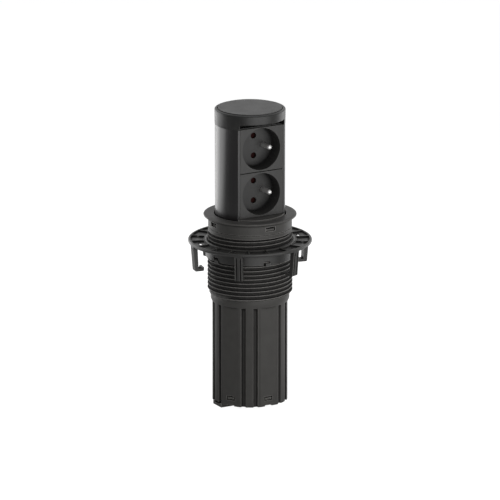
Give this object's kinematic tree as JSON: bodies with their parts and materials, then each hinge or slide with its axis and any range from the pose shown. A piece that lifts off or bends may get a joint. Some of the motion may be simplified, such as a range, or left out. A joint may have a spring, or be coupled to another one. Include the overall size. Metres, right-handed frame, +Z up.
{
  "type": "pop up desk socket",
  "caption": "Pop-up desk socket: a round tower with earthed plug sockets slides out of a flanged, threaded housing that a screw ring with hooks clamps in a desk top.",
  "frame": {"origin": "centre of the flange's underside, on the tower axis at the desk surface", "axes": "+Z up along the tower axis, -Y out of the socket faces, +X to the earth pin side"},
  "size_m": [0.1158, 0.1158, 0.2849],
  "materials": {
    "housing_plastic": "fine moulded black",
    "sleeve_plastic": "plain deep black",
    "clamp_plastic": "fine moulded black",
    "cap_plastic": "satin black",
    "disc_plastic": "matt dark grey",
    "black_anodised": "satin black anodised",
    "socket_plastic": "matt black",
    "box_plastic": "matt grey",
    "steel": "zinc plated",
    "nickel": "nickel plated",
    "brass": "plain",
    "shutter_plastic": "dark red brown",
    "terminal_plastic": "cream",
    "rubber": "matt",
    "felt": "grey felt"
  },
  "bodies": {
    "housing": {"mounting_collar": "housing_plastic", "guide_sleeve": "sleeve_plastic", "friction_pads": "felt", "casing": "housing_plastic", "end_cap": "housing_plastic", "cable_bush": "rubber"},
    "clamp": {"clamp_plate": "clamp_plastic"},
    "nut": {"ring_nut": "clamp_plastic"},
    "tower": {"tower_shell": "black_anodised", "front_filler": "housing_plastic", "tower_base": "housing_plastic", "base_screws": "steel", "cap_body": "cap_plastic", "cap_disc": "disc_plastic", "cap_screws": "steel", "upper_socket_face": "socket_plastic", "lower_socket_face": "socket_plastic", "upper_socket_box": "box_plastic", "lower_socket_box": "box_plastic", "upper_box_screws": "steel", "lower_box_screws": "steel", "upper_earth_pin": "nickel", "lower_earth_pin": "nickel", "upper_contacts": "brass", "lower_contacts": "brass", "upper_shutter_spring": "steel", "lower_shutter_spring": "steel", "live_bar": "brass", "neutral_bar": "brass", "earth_bar": "brass", "terminal_block": "terminal_plastic", "terminal_screws": "steel"},
    "shutter_upper": {"upper_shutter": "shutter_plastic"},
    "shutter_lower": {"lower_shutter": "shutter_plastic"}
  },
  "joints": [
    {"name": "tower_slide", "type": "slide", "parent": "housing", "child": "tower", "axis": [0, 0, 1], "range_m": [-0.1016, 0]},
    {"name": "clamp_slide", "type": "slide", "parent": "housing", "child": "clamp", "axis": [0, 0, 1], "range_m": [-0.034, 0.008]},
    {"name": "nut_turn", "type": "hinge", "parent": "clamp", "child": "nut", "pos_m": [0, 0, 0], "axis": [0, 0, 1], "range_deg": [-3061, 721]},
    {"name": "upper_shutter_slide", "type": "slide", "parent": "tower", "child": "shutter_upper", "axis": [0, 0, -1], "range_m": [0, 0.0065], "stiffness_N_per_m": 100, "springref_m": -0.002, "deforming": ["upper_shutter_spring"]},
    {"name": "lower_shutter_slide", "type": "slide", "parent": "tower", "child": "shutter_lower", "axis": [0, 0, -1], "range_m": [0, 0.0065], "stiffness_N_per_m": 100, "springref_m": -0.002, "deforming": ["lower_shutter_spring"]}
  ],
  "couplings": [
    {"joint": "nut_turn", "follows": "clamp_slide", "rad_per_m": 1570.8}
  ]
}
